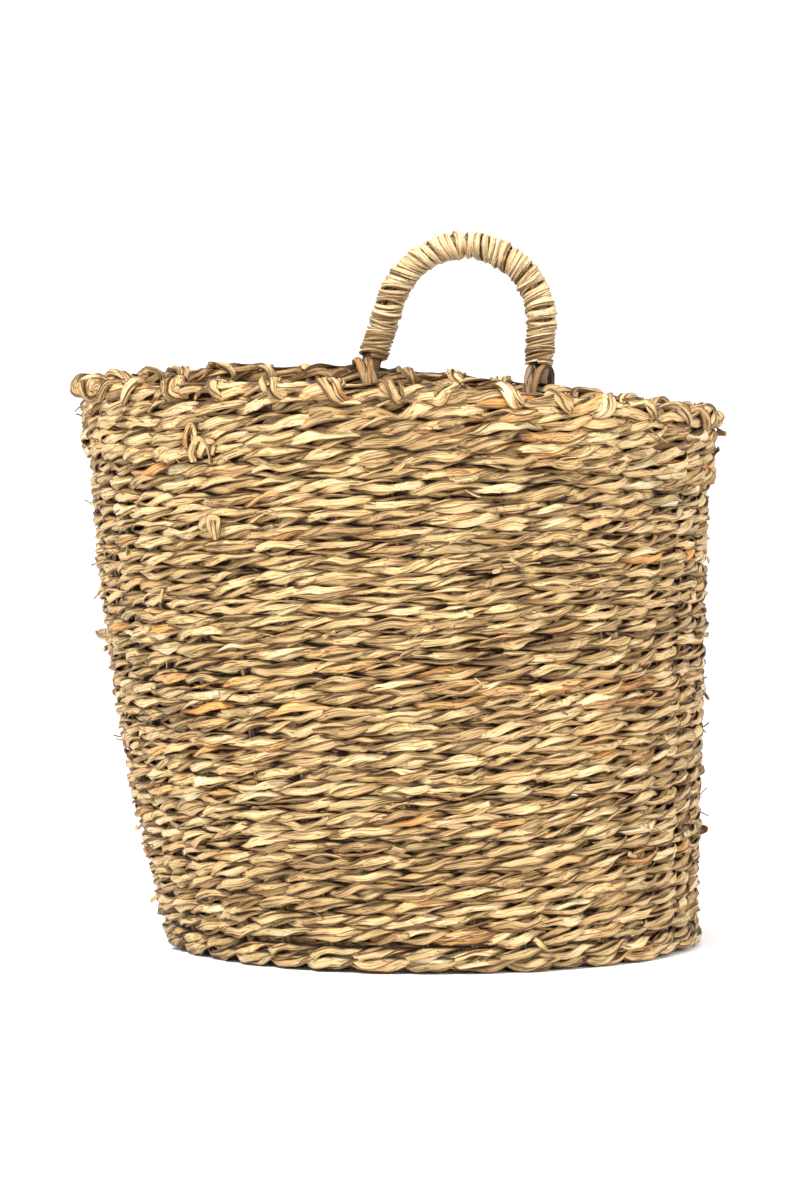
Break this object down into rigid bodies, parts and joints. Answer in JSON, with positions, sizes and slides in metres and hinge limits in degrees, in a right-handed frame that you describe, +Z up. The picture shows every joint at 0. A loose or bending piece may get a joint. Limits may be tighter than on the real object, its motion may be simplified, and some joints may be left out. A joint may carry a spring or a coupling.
{
  "type": "woven storage basket",
  "caption": "Round seagrass storage basket with a woven wall and base, folded rim and one wrapped loop handle at the back.",
  "frame": {"origin": "middle of the underside of the base, on the floor", "axes": "+Z up, front towards -Y, handle at the back towards +Y, +X to the right seen from the front"},
  "size_m": [0.2962, 0.2958, 0.3446],
  "materials": {
    "seagrass_weave": "dry twisted seagrass, matt with a faint straw sheen",
    "stake_grass": "darker twisted seagrass rope, matt",
    "core_grass": "bundled rush, matt",
    "wrap_strip": "flat pale seagrass strip, matt with a faint sheen",
    "lashing_strand": "flat seagrass strip, matt"
  },
  "bodies": {
    "root": {"corner_row_1": "seagrass_weave", "corner_row_2": "seagrass_weave", "base_row_01": "seagrass_weave", "base_row_02": "seagrass_weave", "base_row_03": "seagrass_weave", "base_row_04": "seagrass_weave", "base_row_05": "seagrass_weave", "base_row_06": "seagrass_weave", "base_row_07": "seagrass_weave", "base_row_08": "seagrass_weave", "base_row_09": "seagrass_weave", "base_row_10": "seagrass_weave", "base_row_11": "seagrass_weave", "base_row_12": "seagrass_weave", "base_row_13": "seagrass_weave", "base_row_14": "seagrass_weave", "base_centre": "seagrass_weave", "stakes": "stake_grass", "wall_row_01": "seagrass_weave", "wall_row_02": "seagrass_weave", "wall_row_03": "seagrass_weave", "wall_row_04": "seagrass_weave", "wall_row_05": "seagrass_weave", "wall_row_06": "seagrass_weave", "wall_row_07": "seagrass_weave", "wall_row_08": "seagrass_weave", "wall_row_09": "seagrass_weave", "wall_row_10": "seagrass_weave", "wall_row_11": "seagrass_weave", "wall_row_12": "seagrass_weave", "wall_row_13": "seagrass_weave", "wall_row_14": "seagrass_weave", "wall_row_15": "seagrass_weave", "wall_row_16": "seagrass_weave", "wall_row_17": "seagrass_weave", "wall_row_18": "seagrass_weave", "wall_row_19": "seagrass_weave", "wall_row_20": "seagrass_weave", "wall_row_21": "seagrass_weave", "wall_row_22": "seagrass_weave", "wall_row_23": "seagrass_weave", "wall_row_24": "seagrass_weave", "wall_row_25": "seagrass_weave", "wall_row_26": "seagrass_weave", "wall_row_27": "seagrass_weave", "wall_row_28": "seagrass_weave", "wall_row_29": "seagrass_weave", "wall_row_30": "seagrass_weave", "wall_row_31": "seagrass_weave", "wall_row_32": "seagrass_weave", "wall_row_33": "seagrass_weave", "wall_row_34": "seagrass_weave", "wall_row_35": "seagrass_weave", "wall_row_36": "seagrass_weave", "rim_row": "seagrass_weave", "handle_lashing_left": "lashing_strand", "handle_lashing_right": "lashing_strand"},
    "handle": {"handle_core": "core_grass", "handle_wrap": "wrap_strip"}
  },
  "joints": [
    {"name": "handle_flex", "type": "hinge", "parent": "root", "child": "handle", "pos_m": [-0.03167, 0.13934, 0.27614], "axis": [0.9787, -0.1974, -0.0558], "range_deg": [-45, 45], "stiffness_Nm_per_rad": 0.05}
  ]
}
